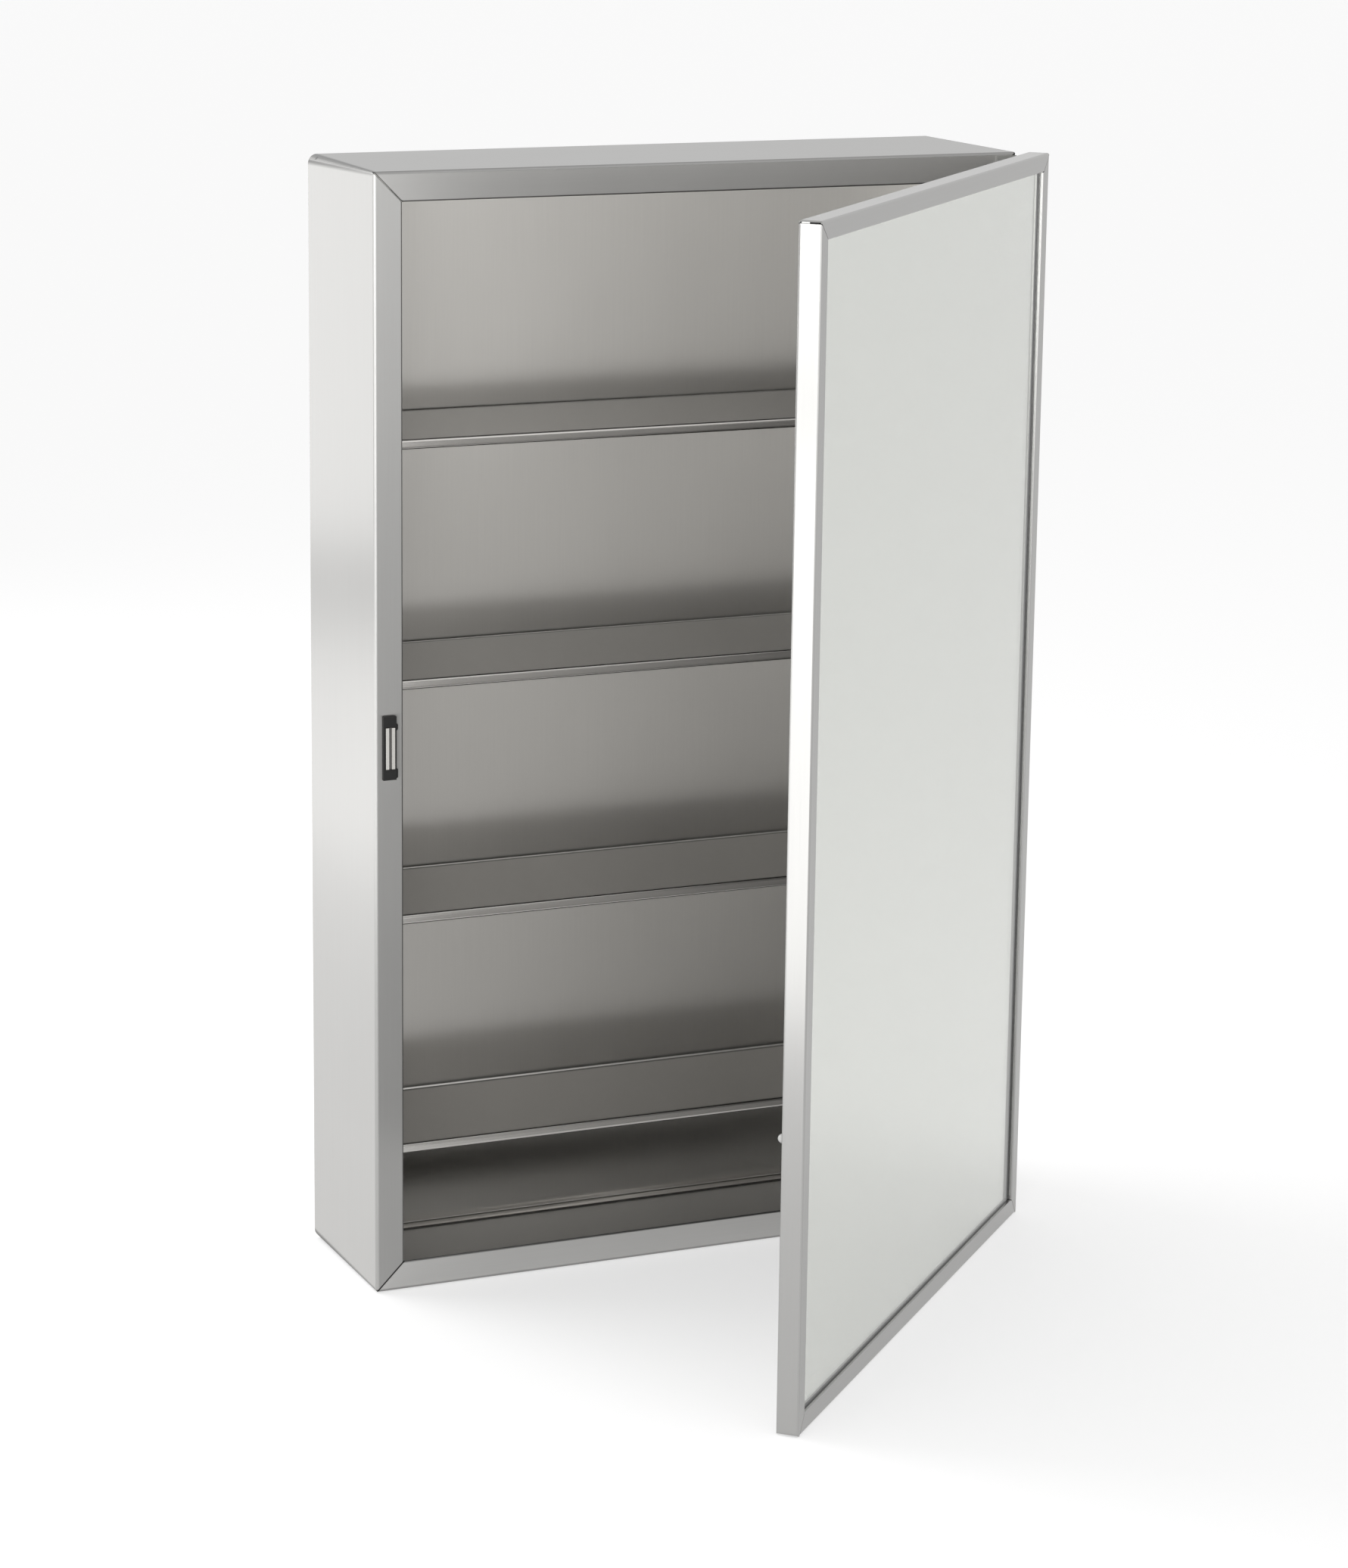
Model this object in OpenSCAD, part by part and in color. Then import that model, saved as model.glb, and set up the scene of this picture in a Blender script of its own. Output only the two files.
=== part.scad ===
// Wall medicine cabinet of satin stainless sheet with a framed mirror door.
// X runs to the right, Y into the wall and Z up. The wall is the plane y = 0 and the
// origin is the middle of the four wall holes. The door is drawn open, as it stands at rest.

/* [Cabinet] */
// Width of the cabinet, outside of both side walls
cab_w = 406.4; // [300:0.1:600]
// Height of the cabinet
cab_h = 660.4; // [600:0.1:900]
// Depth from the wall to the face of the front flange
cab_d = 108; // [90:0.5:150]
// Thickness of the cabinet sheet
sheet_t = 0.9; // [0.7:0.05:1.2]
// Outer radius of the bend between a wall and the front flange
bend_r = 1.6; // [1.4:0.05:2]
// Radius of the wrap's corners where they meet the wall
corner_r_wall = 5.4; // [3.5:0.1:6]
// Radius of the wrap's corners at the front, where the flange pulls them tight
corner_r_front = 1.7; // [1.5:0.1:2.5]
// Width of the front flange
flange_w = 17.3; // [15:0.1:24]
// Width of the hem folded behind the flange's inner edge
hem_w = 7; // [4:0.5:9]
// Width of the open mitre seams in the flange corners
mitre_gap = 0.5; // [0.2:0.05:0.8]

/* [Back panel and wall holes] */
// Thickness of the back panel
panel_t = 0.9; // [0.7:0.05:1.2]
// Depth of the panel's flanges, which lie on the walls
panel_flange = 10; // [8:0.5:16]
// Distance between the wall holes across the cabinet
wall_hole_dx = 304.8; // [200:0.1:340]
// Distance between the wall holes up the cabinet
wall_hole_dz = 558.8; // [400:0.1:570]
// Diameter of the wall holes
wall_hole_d = 6.4; // [5:0.1:8]

/* [Shelves] */
// Top of the lowest shelf above the bottom of the cabinet
shelf_first = 88.9; // [60:0.1:100]
// Distance from one shelf to the next
shelf_pitch = 139.7; // [100:0.1:150]
// Thickness of the shelf sheet
shelf_t = 0.9; // [0.7:0.05:1.2]
// Height of the rolled lip along the front of a shelf
lip_h = 5.8; // [5:0.1:9]
// Outer radius of the lip's two bends
lip_r = 2; // [1.6:0.1:2.4]
// Depth of the lip's return below the shelf
lip_return = 8; // [5:0.5:12]
// Gap between the back of the front flange and a shelf
shelf_front_gap = 0.5; // [0.3:0.1:2]
// Gap between a shelf and the back panel
shelf_rear_gap = 2.8; // [0.5:0.1:5]
// Gap between a shelf's notched rear corners and the flanges of the back panel
shelf_notch_gap = 0.6; // [0.3:0.1:2]

/* [Hinge] */
// Gap between the closed door and the cabinet, filled by the folded hinge
door_gap = 5.2; // [4.8:0.1:7]
// Thickness of the hinge leaves
leaf_t = 0.9; // [0.7:0.05:1]
// Width of a leaf from the pin's axis to its edge
leaf_w = 16; // [14:0.5:17]
// Space between a knuckle and the flat sheets beside it
knuckle_clear = 0.3; // [0.2:0.05:0.4]
// Number of knuckles along the hinge, both leaves together
knuckle_count = 26; // [10:2:40]
// Gap between one knuckle and the next
knuckle_gap = 0.4; // [0.2:0.05:0.8]
// Radial clearance of the pin in the knuckles
pin_clear = 0.05; // [0.02:0.01:0.08]
// Chamfer on the ends of the pin
pin_chamfer = 0.4; // [0.2:0.1:0.8]
// Distance of the hinge's ends from the top and bottom edges
hinge_inset = 2; // [1:0.5:6]
// Number of rivets along each leaf
leaf_rivets = 9; // [4:1:12]
// Distance of the end rivets from the top and bottom of the cabinet
rivet_end = 20; // [12:1:40]
// Diameter of the rivet shanks
rivet_d = 3.2; // [2.4:0.1:3.4]
// Diameter of the leaf rivets' heads
rivet_head_d = 6.4; // [5:0.1:7]
// Diameter of the flat crown of a leaf rivet's head
rivet_crown_d = 3.8; // [3:0.1:4.5]
// Height of the rim of a leaf rivet's head
rivet_rim_t = 0.4; // [0.2:0.05:0.5]
// Height of the leaf rivets' heads
rivet_head_t = 1; // [0.7:0.05:1.2]
// Diameter of the hollow left in a leaf rivet's head
rivet_hollow_d = 1.3; // [1:0.1:1.8]
// Diameter of a clinched rivet tail
rivet_tail_d = 4.8; // [4:0.1:5.5]
// Length of a clinched rivet tail
rivet_tail = 1.2; // [0.8:0.1:1.6]

/* [Door] */
// Angle at which the door stands open at rest
door_open_angle = 45; // [20:1:90]
// How far the door reaches past the cabinet on the hinge side
door_overhang = 7; // [6:0.1:8]
// How far the door stops short of the cabinet on the free side
door_short = 0.4; // [0:0.1:2]
// Thickness of the door at its edge
door_t = 13; // [12:0.1:16]
// Width of the frame's front face
frame_w = 10.6; // [9:0.1:14]
// Thickness of the frame sheet
frame_t = 0.8; // [0.6:0.05:1]
// Outer radius of the frame's long bends
frame_bend_r = 1.3; // [1.1:0.05:1.6]
// Outer radius of the door's four corners
door_corner_r = 2.2; // [1.5:0.1:3]
// Depth from the frame's face to the mirror
mirror_recess = 1.8; // [1.4:0.1:2.4]
// Width of the frame's back flange on the top and bottom rails
rail_back_w = 12; // [11:0.5:13]
// Width of the back flange on the free stile
free_back_w = 16; // [15:0.5:18]
// Width of the back flange on the hinge stile
hinge_back_w = 22; // [22:0.5:26]
// Width of the seams in the frame's corners
seam_gap = 0.35; // [0.2:0.05:0.6]
// How far the top rail wraps down over the stiles at a corner
seam_top = 1.3; // [1:0.1:2]
// How far the stiles wrap under the door at a bottom corner
seam_bottom = 2.5; // [1.5:0.1:3]

/* [Mirror] */
// Thickness of the mirror glass
glass_t = 5; // [4:0.1:5.5]
// Thickness of the silver and paint on the glass
silver_t = 0.2; // [0.1:0.05:0.4]
// Width of the unpainted rim round the silvering
silver_rim = 2; // [1:0.5:4]
// Thickness of the plastic strips that protect the glass edges
filler_t = 1.9; // [1.5:0.1:2.5]
// Thickness of the door's back sheet
pan_t = 0.8; // [0.6:0.05:1]
// Distance of the foam pad from the door's sides
pad_side = 20; // [20:0.5:30]
// Distance of the foam pad from the door's top and bottom
pad_end = 8; // [5:0.5:20]

/* [Corner keys and bumper] */
// Length of a corner key's arms
key_len = 30; // [26:1:45]
// Thickness of a corner key
key_t = 1.5; // [1:0.1:1.8]
// Distance of the key's rivet from the free end of a rail
key_rivet_u = 22; // [15:0.5:24]
// Diameter of the key's rivets
key_rivet_d = 2; // [1.6:0.1:2.6]
// Diameter of a key rivet's clinched tail
key_tail_d = 2.8; // [2.4:0.1:3.4]
// Length of a key rivet's clinched tail
key_tail = 0.5; // [0.4:0.1:1]
// Height of the bumper's middle above the bottom of the door
bumper_z = 166; // [60:1:280]
// Distance of the bumper from the door's free edge
bumper_u = 9; // [6:0.1:10]
// Diameter of the bumper
bumper_d = 5.2; // [4:0.1:5.5]
// Gap left between the bumper and the closed cabinet
bumper_gap = 0.4; // [0.2:0.05:0.8]
// Diameter of the bumper's stem
bumper_stem_d = 3; // [2:0.1:3.4]
// Length of the barb behind the door's back sheet
bumper_barb = 1; // [0.6:0.1:1.5]

/* [Magnetic catch] */
// Distance of the catch's middle from the cabinet's free side
catch_x = 8.4; // [8:0.1:9]
// Distance of the catch's middle below the top of the third shelf
catch_drop = 38.1; // [30:0.1:60]
// Width of the catch's face
catch_w = 7.9; // [7.6:0.1:9]
// Height of the catch's face
catch_h = 37.4; // [36:0.1:44]
// How far the catch's face stands out of the flange
catch_out = 2.6; // [2.2:0.1:2.8]
// Depth of the catch behind the face of the flange
catch_in = 8.4; // [8:0.1:14]
// How far the catch's ears reach past its face
ear_reach = 1.4; // [1.4:0.1:2]
// Radius of the ears' corners
ear_corner_r = 1.2; // [0.5:0.1:1.3]
// Thickness of the ears
ear_t = 1.2; // [0.8:0.1:1.6]
// Height of the upper ear
ear_top_h = 4.2; // [4:0.1:8]
// Height of the lower ear
ear_low_h = 6; // [4:0.1:8]
// Middle of the upper ear above the middle of the catch
ear_top_z = 12.2; // [8:0.1:14]
// Middle of the lower ear above the middle of the catch
ear_low_z = -15.2; // [-16:0.1:-8]
// Thickness of the lip round the catch's window
catch_lip = 1; // [0.8:0.1:1.2]
// Thickness of the plastic behind the magnet
catch_back = 1; // [0.8:0.1:1.5]
// Thickness of the plastic above and below the magnet pack
catch_wall = 1.3; // [1:0.1:2]
// How far the catch's face reaches past its body on each side
catch_step = 0.3; // [0.2:0.05:0.4]
// How far the snap lugs reach behind the flange
lug_reach = 1; // [0.6:0.1:1.5]
// Thickness of the snap lugs
lug_t = 2; // [1.5:0.1:3]
// Width of the snap lugs
lug_w = 3.6; // [2:0.1:5]
// Thickness of one pole plate
pole_t = 2; // [1.6:0.1:2.1]
// Height of the pole plates in the window
pole_h = 24.3; // [20:0.1:25]
// How far a pole plate's shoulders reach past the window's part
pole_shoulder = 1.35; // [1.1:0.05:1.6]
// Thickness of the magnet between the pole plates
magnet_t = 1.65; // [1.4:0.05:1.7]
// How far the magnet stays behind the tips of the pole plates
magnet_sunk = 0.8; // [0.4:0.1:1.2]
// How far the magnet pack can float in or out of its middle place
pack_float = 0.5; // [0.3:0.05:0.6]
// Clearance round the magnet pack
pack_clear = 0.25; // [0.2:0.05:0.3]
// Gap between the pole plates and the strike plate when the door is closed
strike_gap = 0.8; // [0.8:0.05:1]
// Thickness of the strike plate
strike_t = 1.2; // [1:0.1:1.3]
// Width of the strike plate
strike_w = 7; // [6.5:0.5:12.5]
// Height of the strike plate
strike_h = 38; // [30:0.5:44]
// Radius of the strike plate's corners
strike_corner_r = 2; // [1:0.1:4]
// Distance of the strike's rivets from its top and bottom edges
strike_rivet_end = 5; // [4.5:0.1:9]
// Diameter of the strike rivets' sunk heads
strike_head_d = 5.2; // [4.4:0.1:6]
// Thickness of the strike rivets' sunk heads
strike_head_t = 0.6; // [0.4:0.05:0.7]

/* [Hidden] */
$fn = 48;

// cutters run this far past the faces that they cut
over = 1;
// clearance of a rivet's shank in its hole
rivet_clear = 0.05;
// fine slice that stands for one end of a tapered corner
slice = 0.01;

// the pin's axis, outside the cabinet's side and in the middle of the closed gap
pin_x = cab_w / 2 + door_gap / 2;
pin_y = -cab_d - door_gap / 2;
knuckle_r = door_gap / 2 - knuckle_clear;
knuckle_bore_r = knuckle_r - leaf_t;
hinge_len = cab_h - 2 * hinge_inset;
knuckle_pitch = hinge_len / knuckle_count;
// a rivet sits in the middle of the flat part of its leaf
rivet_line = (door_gap / 2 + leaf_w) / 2;
rivet_step = (cab_h - 2 * rivet_end) / (leaf_rivets - 1);

// the closed door, measured from the pin: x of its two ends and y of its back and face
door_x1 = door_overhang - door_gap / 2;
door_w = cab_w + door_overhang - door_short;
door_x0 = door_x1 - door_w;
door_back = -door_gap / 2;
door_face = door_back - door_t;

// depths in the door, measured from its back towards its face
glass_front = door_t - mirror_recess;
glass_back = glass_front - glass_t;
silver_back = glass_back - silver_t;
pan_front = frame_t + pan_t;
// the glass edge sits behind the filler strip with this clearance on both its sides
filler_clear = 0.05;
glass_edge = frame_t + filler_t + 2 * filler_clear;
// the back sheet stays clear of the inside of the frame's bends
pan_edge = frame_bend_r + 0.1;

// the catch, measured from its middle on the face of the flange
pack_w = magnet_t + 2 * pole_t;
window_h = pole_h + 2 * pack_clear;
cavity_w = pack_w + 2 * pack_clear;
cavity_h = pole_h + 2 * pole_shoulder + 2 * pack_clear;
cavity_front = catch_lip - catch_out;
cavity_back = catch_in - catch_back;
// the pack keeps its clearance at both ends of its float
shoulder_y = cavity_front + pack_float + pack_clear;
pack_back = cavity_back - pack_float - pack_clear;
pole_tip = -(door_gap - strike_t - strike_gap);
catch_body_w = catch_w - 2 * catch_step;
catch_body_h = cavity_h + 2 * catch_wall;
slot_clear = 0.1;
catch_mid_x = -cab_w / 2 + catch_x;
catch_mid_z = shelf_top(3) - catch_drop;

steel = "silver";
dull_steel = "darkgray";
bright_steel = "gainsboro";

// Rounded rectangle about the origin
module rounded_rect(w, h, r) {
    square([w - 2 * r, h], center = true);
    square([w, h - 2 * r], center = true);
    for (sx = [-1, 1])
        for (sy = [-1, 1])
            translate([sx * (w / 2 - r), sy * (h / 2 - r)])
                circle(r);
}

// Extrudes a drawing of the XZ plane along Y, from y0 to y1
module along_y(y0, y1) {
    translate([0, y1, 0])
        rotate([90, 0, 0])
            linear_extrude(y1 - y0)
                children();
}

// Prism whose corner radius changes steadily from its front to its back
module tapered_prism(w, h, d, r_front, r_back) {
    if (r_front == r_back) {
        along_y(0, d)
            rounded_rect(w, h, r_front);
    } else {
        hull() {
            along_y(0, slice)
                rounded_rect(w, h, r_front, $fn = 32);
            along_y(d - slice, d)
                rounded_rect(w, h, r_back, $fn = 32);
        }
    }
}

// Block with its closed face on y = 0, where all four edges are rounded
module bent_block(w, h, d, r_bend, r_front, r_back) {
    intersection() {
        tapered_prism(w, h, d, r_front, r_back);
        translate([0, d, 0])
            linear_extrude(h + 2 * over, center = true)
                rounded_rect(w, 2 * d, r_bend);
        translate([0, d, 0])
            rotate([0, 90, 0])
                linear_extrude(w + 2 * over, center = true)
                    rounded_rect(h, 2 * d, r_bend);
    }
}

// One side of the flange, seen from the front: a strip with mitred ends at the right
module mitred_side(half_w, half_h, depth) {
    polygon([[half_w - depth, half_h - depth], [half_w, half_h],
        [half_w, -half_h], [half_w - depth, depth - half_h]]);
}

// Hem along the right flange: the round fold and the layer behind the flange
module hem_strip(half_w, half_h) {
    intersection() {
        translate([half_w - flange_w, -cab_d, 0])
            linear_extrude(2 * half_h, center = true) {
                translate([sheet_t, sheet_t])
                    circle(sheet_t);
                translate([sheet_t, sheet_t])
                    square([hem_w - sheet_t, sheet_t]);
            }
        along_y(-cab_d - over, -cab_d + 2 * sheet_t + over)
            mitred_side(half_w, half_h, flange_w + over);
    }
}

// Open seam between two flanges in the upper right corner
module mitre_slot() {
    translate([cab_w / 2, -cab_d - over, cab_h / 2])
        rotate([0, 135, 0])
            translate([0, 0, -mitre_gap / 2])
                cube([sqrt(2) * flange_w + over, 2 * sheet_t + 2 * over, mitre_gap]);
}

module cabinet_wrap() {
    color(steel)
        difference() {
            union() {
                difference() {
                    translate([0, -cab_d, 0])
                        bent_block(cab_w, cab_h, cab_d, bend_r, corner_r_front, corner_r_wall);
                    translate([0, sheet_t - cab_d, 0])
                        bent_block(cab_w - 2 * sheet_t, cab_h - 2 * sheet_t, cab_d - sheet_t + over,
                            bend_r - sheet_t, corner_r_front - sheet_t, corner_r_wall - sheet_t);
                    along_y(-cab_d - over, -cab_d + sheet_t + over)
                        square([cab_w - 2 * (flange_w - sheet_t), cab_h - 2 * (flange_w - sheet_t)],
                            center = true);
                }
                for (m = [0, 1]) {
                    mirror([m, 0, 0])
                        hem_strip(cab_w / 2, cab_h / 2);
                    mirror([0, 0, m])
                        rotate([0, -90, 0])
                            hem_strip(cab_h / 2, cab_w / 2);
                }
            }
            for (mx = [0, 1])
                for (mz = [0, 1])
                    mirror([mx, 0, 0])
                        mirror([0, 0, mz])
                            mitre_slot();
            catch_slot();
            leaf_rivet_places()
                translate([pin_x - rivet_line, -cab_d, 0])
                    rivet_hole(2 * sheet_t);
        }
}

// Hole in the free side's flange that the catch is pressed through
module catch_slot() {
    translate([catch_mid_x, -cab_d + sheet_t, catch_mid_z])
        cube([catch_body_w + 2 * slot_clear, 2 * sheet_t + 2 * over, catch_body_h + 2 * slot_clear],
            center = true);
}

module back_panel() {
    color(steel)
        difference() {
            mirror([0, 1, 0])
                bent_block(cab_w - 2 * sheet_t, cab_h - 2 * sheet_t, panel_flange,
                    bend_r, corner_r_wall, corner_r_wall);
            translate([0, -panel_t, 0])
                mirror([0, 1, 0])
                    bent_block(cab_w - 2 * (sheet_t + panel_t), cab_h - 2 * (sheet_t + panel_t),
                        panel_flange, bend_r - panel_t, corner_r_wall - panel_t,
                        corner_r_wall - panel_t);
            for (sx = [-1, 1])
                for (sz = [-1, 1])
                    translate([sx * wall_hole_dx / 2, over, sz * wall_hole_dz / 2])
                        rotate([90, 0, 0])
                            cylinder(h = panel_t + 2 * over, d = wall_hole_d);
        }
}

// Front of a shelf: the nose that the lip is rolled to
module nose(h, r, depth) {
    translate([r, 0])
        square([depth - r, h]);
    translate([0, r])
        square([depth, h - 2 * r]);
    translate([r, r])
        circle(r);
    translate([r, h - r])
        circle(r);
}

// Height of the top of shelf number n, counted from the bottom
function shelf_top(n) = shelf_first + (n - 1) * shelf_pitch - cab_h / 2;

// Shelf number n, counted from the bottom
module shelf(n) {
    top = shelf_top(n);
    front = -cab_d + 2 * sheet_t + shelf_front_gap;
    rear = -panel_t - shelf_rear_gap;
    half_w = cab_w / 2 - sheet_t;
    notch_w = panel_t + shelf_notch_gap;
    notch_depth = panel_flange + shelf_notch_gap;
    color(steel)
        difference() {
            union() {
                rotate([90, 0, 90])
                    linear_extrude(2 * half_w, center = true)
                        translate([front, top - lip_h]) {
                            difference() {
                                nose(lip_h, lip_r, lip_return);
                                translate([shelf_t, shelf_t])
                                    nose(lip_h - 2 * shelf_t, lip_r - shelf_t, lip_return);
                            }
                            translate([lip_r, lip_h - shelf_t])
                                square([rear - front - lip_r, shelf_t]);
                        }
                for (m = [0, 1])
                    mirror([m, 0, 0])
                        translate([half_w - shelf_t, front + lip_return, top - lip_h])
                            cube([shelf_t, rear - front - lip_return, lip_h]);
            }
            for (m = [0, 1])
                mirror([m, 0, 0])
                    translate([half_w - notch_w, -notch_depth, top - lip_h - over])
                        cube([notch_w + over, notch_depth, lip_h + 2 * over]);
        }
}

module shelf_1() {
    shelf(1);
}

module shelf_2() {
    shelf(2);
}

module shelf_3() {
    shelf(3);
}

module shelf_4() {
    shelf(4);
}

// Places its children at the height of each leaf rivet
module leaf_rivet_places() {
    for (i = [0 : leaf_rivets - 1])
        translate([0, 0, -cab_h / 2 + rivet_end + i * rivet_step])
            children();
}

// Hole for a rivet, from the head's side at y = 0 into +Y
module rivet_hole(depth) {
    translate([0, -over, 0])
        rotate([-90, 0, 0])
            cylinder(h = depth + 2 * over, d = rivet_d + 2 * rivet_clear);
}

// Blind rivet: its head stands out to -Y of y = 0, and it grips sheets of the given thickness
module blind_rivet(grip) {
    rotate([90, 0, 0])
        difference() {
            union() {
                cylinder(h = rivet_rim_t, d = rivet_head_d);
                translate([0, 0, rivet_rim_t])
                    cylinder(h = rivet_head_t - rivet_rim_t, d1 = rivet_head_d, d2 = rivet_crown_d);
                translate([0, 0, -grip])
                    cylinder(h = grip, d = rivet_d);
                translate([0, 0, -grip - rivet_tail])
                    cylinder(h = rivet_tail, d1 = rivet_d, d2 = rivet_tail_d);
            }
            translate([0, 0, rivet_rim_t])
                cylinder(h = rivet_head_t, d = rivet_hollow_d);
        }
}

// Tubes of one leaf. The even leaf has the lowest knuckle, the odd leaf the next
module knuckles(odd) {
    for (i = [odd : 2 : knuckle_count - 1])
        translate([0, 0, -hinge_len / 2 + i * knuckle_pitch + knuckle_gap / 2])
            cylinder(h = knuckle_pitch - knuckle_gap, r = knuckle_r);
}

// One leaf of the continuous hinge, about the pin, lying on the plane y = door_gap / 2
module leaf(odd) {
    difference() {
        union() {
            translate([-leaf_w, door_gap / 2 - leaf_t, -hinge_len / 2])
                cube([leaf_w, leaf_t, hinge_len]);
            knuckles(odd);
        }
        for (i = [1 - odd : 2 : knuckle_count - 1])
            translate([-door_gap / 2, 0, -hinge_len / 2 + i * knuckle_pitch - knuckle_gap / 2])
                cube([door_gap, door_gap, knuckle_pitch + knuckle_gap]);
        translate([0, 0, -hinge_len / 2 - over])
            cylinder(h = hinge_len + 2 * over, r = knuckle_bore_r);
        leaf_rivet_places()
            translate([-rivet_line, door_gap / 2 - leaf_t, 0])
                rivet_hole(leaf_t);
    }
}

module hinge_cabinet_leaf() {
    color(dull_steel)
        translate([pin_x, pin_y, 0])
            leaf(0);
}

// Straight pin with its ends turned to a small chamfer
module hinge_pin() {
    pin_r = knuckle_bore_r - pin_clear;
    color(bright_steel)
        translate([pin_x, pin_y, 0]) {
            translate([0, 0, pin_chamfer - hinge_len / 2])
                cylinder(h = hinge_len - 2 * pin_chamfer, r = pin_r);
            for (m = [0, 1])
                mirror([0, 0, m])
                    translate([0, 0, hinge_len / 2 - pin_chamfer])
                        cylinder(h = pin_chamfer, r1 = pin_r, r2 = pin_r - pin_chamfer);
        }
}

module cabinet_leaf_rivets() {
    color(bright_steel)
        leaf_rivet_places()
            translate([pin_x - rivet_line, -cab_d - leaf_t, 0])
                blind_rivet(leaf_t + sheet_t);
}

// Black catch body: face, body through the flange, window, cavity and snap lugs
module catch_housing() {
    color("dimgray")
        translate([catch_mid_x, -cab_d, catch_mid_z])
            difference() {
                union() {
                    translate([-catch_w / 2, -catch_out, -catch_h / 2])
                        cube([catch_w, catch_out, catch_h]);
                    translate([-catch_body_w / 2, -over, -catch_body_h / 2])
                        cube([catch_body_w, catch_in + over, catch_body_h]);
                    for (m = [0, 1])
                        mirror([0, 0, m])
                            translate([-lug_w / 2, 2 * sheet_t + slot_clear, catch_body_h / 2 - over])
                                cube([lug_w, lug_t, lug_reach + over]);
                    catch_ear(ear_top_z, ear_top_h);
                    catch_ear(ear_low_z, ear_low_h);
                }
                translate([-cavity_w / 2, cavity_front, -cavity_h / 2])
                    cube([cavity_w, cavity_back - cavity_front, cavity_h]);
                translate([-cavity_w / 2, -catch_out - over, -window_h / 2])
                    cube([cavity_w, catch_lip + 2 * over, window_h]);
            }
}

// Tab with round corners beside the catch's face, lying on the flange
module catch_ear(z, height) {
    along_y(-ear_t, 0)
        translate([catch_w / 2, z])
            rounded_rect(2 * ear_reach, height, ear_corner_r);
}

module pole_plates() {
    color(bright_steel)
        translate([catch_mid_x, -cab_d, catch_mid_z])
            for (m = [0, 1])
                mirror([m, 0, 0]) {
                    translate([magnet_t / 2, pole_tip, -pole_h / 2])
                        cube([pole_t, shoulder_y - pole_tip, pole_h]);
                    translate([magnet_t / 2, shoulder_y, -pole_h / 2 - pole_shoulder])
                        cube([pole_t, pack_back - shoulder_y, pole_h + 2 * pole_shoulder]);
                }
}

module catch_magnet() {
    color("gray")
        translate([catch_mid_x, -cab_d, catch_mid_z])
            translate([-magnet_t / 2, pole_tip + magnet_sunk, -pole_h / 2])
                cube([magnet_t, pack_back - pole_tip - 2 * magnet_sunk, pole_h]);
}

// Turns what is drawn on the closed door, measured from the pin, to where it stands at rest
module on_door() {
    translate([pin_x, pin_y, 0])
        rotate([0, 0, door_open_angle])
            children();
}

module hinge_door_leaf() {
    color(dull_steel)
        on_door()
            mirror([0, 1, 0])
                leaf(1);
}

module door_leaf_rivets() {
    color(bright_steel)
        on_door()
            leaf_rivet_places()
                translate([-rivet_line, leaf_t + door_back, 0])
                    mirror([0, 1, 0])
                        blind_rivet(leaf_t + frame_t + pan_t);
}

// Section of the roll-formed frame: across the door in x, from its back to its face in y
module frame_section(back_w) {
    inner_r = frame_bend_r - frame_t;
    lip_edge_r = frame_t;
    difference() {
        union() {
            translate([frame_bend_r, 0])
                square([back_w - frame_bend_r, frame_t]);
            translate([frame_bend_r, 0])
                square([frame_w - frame_bend_r - lip_edge_r, door_t]);
            translate([0, frame_bend_r])
                square([frame_w, door_t - frame_bend_r - lip_edge_r]);
            for (v = [frame_bend_r, door_t - frame_bend_r])
                translate([frame_bend_r, v])
                    circle(frame_bend_r);
            translate([frame_w - lip_edge_r, door_t - lip_edge_r])
                circle(lip_edge_r);
            translate([frame_bend_r, door_t - frame_bend_r])
                square([frame_w - frame_bend_r - lip_edge_r, frame_bend_r - lip_edge_r]);
        }
        translate([frame_t, frame_t + inner_r])
            square([frame_w - 2 * frame_t, door_t - 2 * frame_t - 2 * inner_r]);
        translate([frame_t + inner_r, frame_t])
            square([frame_w - 2 * frame_t - inner_r, door_t - 2 * frame_t]);
        for (v = [frame_t + inner_r, door_t - frame_t - inner_r])
            translate([frame_t + inner_r, v])
                circle(inner_r);
        translate([frame_w - 2 * frame_t, frame_t])
            square([2 * frame_t + over, glass_front - frame_t]);
    }
}

// Keeps what lies inside an outline of the closed door: x from the hinge end, z from the bottom
module door_outline() {
    along_y(door_face - over, door_back + over)
        intersection() {
            translate([(door_x0 + door_x1) / 2, 0])
                rounded_rect(door_w, cab_h, door_corner_r);
            translate([door_x1, -cab_h / 2])
                mirror([1, 0])
                    children();
        }
}

// Outline of the top rail, which wraps down over both stiles
module top_rail_outline() {
    h = cab_h;
    polygon([[0, h], [0, h - seam_top], [frame_w, h - frame_w], [rail_back_w, h - rail_back_w],
        [door_w - rail_back_w, h - rail_back_w], [door_w - frame_w, h - frame_w],
        [door_w, h - seam_top], [door_w, h]]);
}

// Outline of the bottom rail, which fits between the stiles
module bottom_rail_outline() {
    polygon([[seam_bottom, 0], [frame_w, frame_w], [rail_back_w, rail_back_w],
        [door_w - rail_back_w, rail_back_w], [door_w - frame_w, frame_w],
        [door_w - seam_bottom, 0]]);
}

// Outline of the stile at the hinge end
module stile_outline(back_w) {
    h = cab_h;
    polygon([[0, 0], [seam_bottom - seam_gap, 0], [frame_w, frame_w + seam_gap],
        [rail_back_w, rail_back_w + seam_gap], [back_w, rail_back_w + seam_gap],
        [back_w, h - rail_back_w - seam_gap], [rail_back_w, h - rail_back_w - seam_gap],
        [frame_w, h - frame_w - seam_gap], [0, h - seam_top - seam_gap]]);
}

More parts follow.
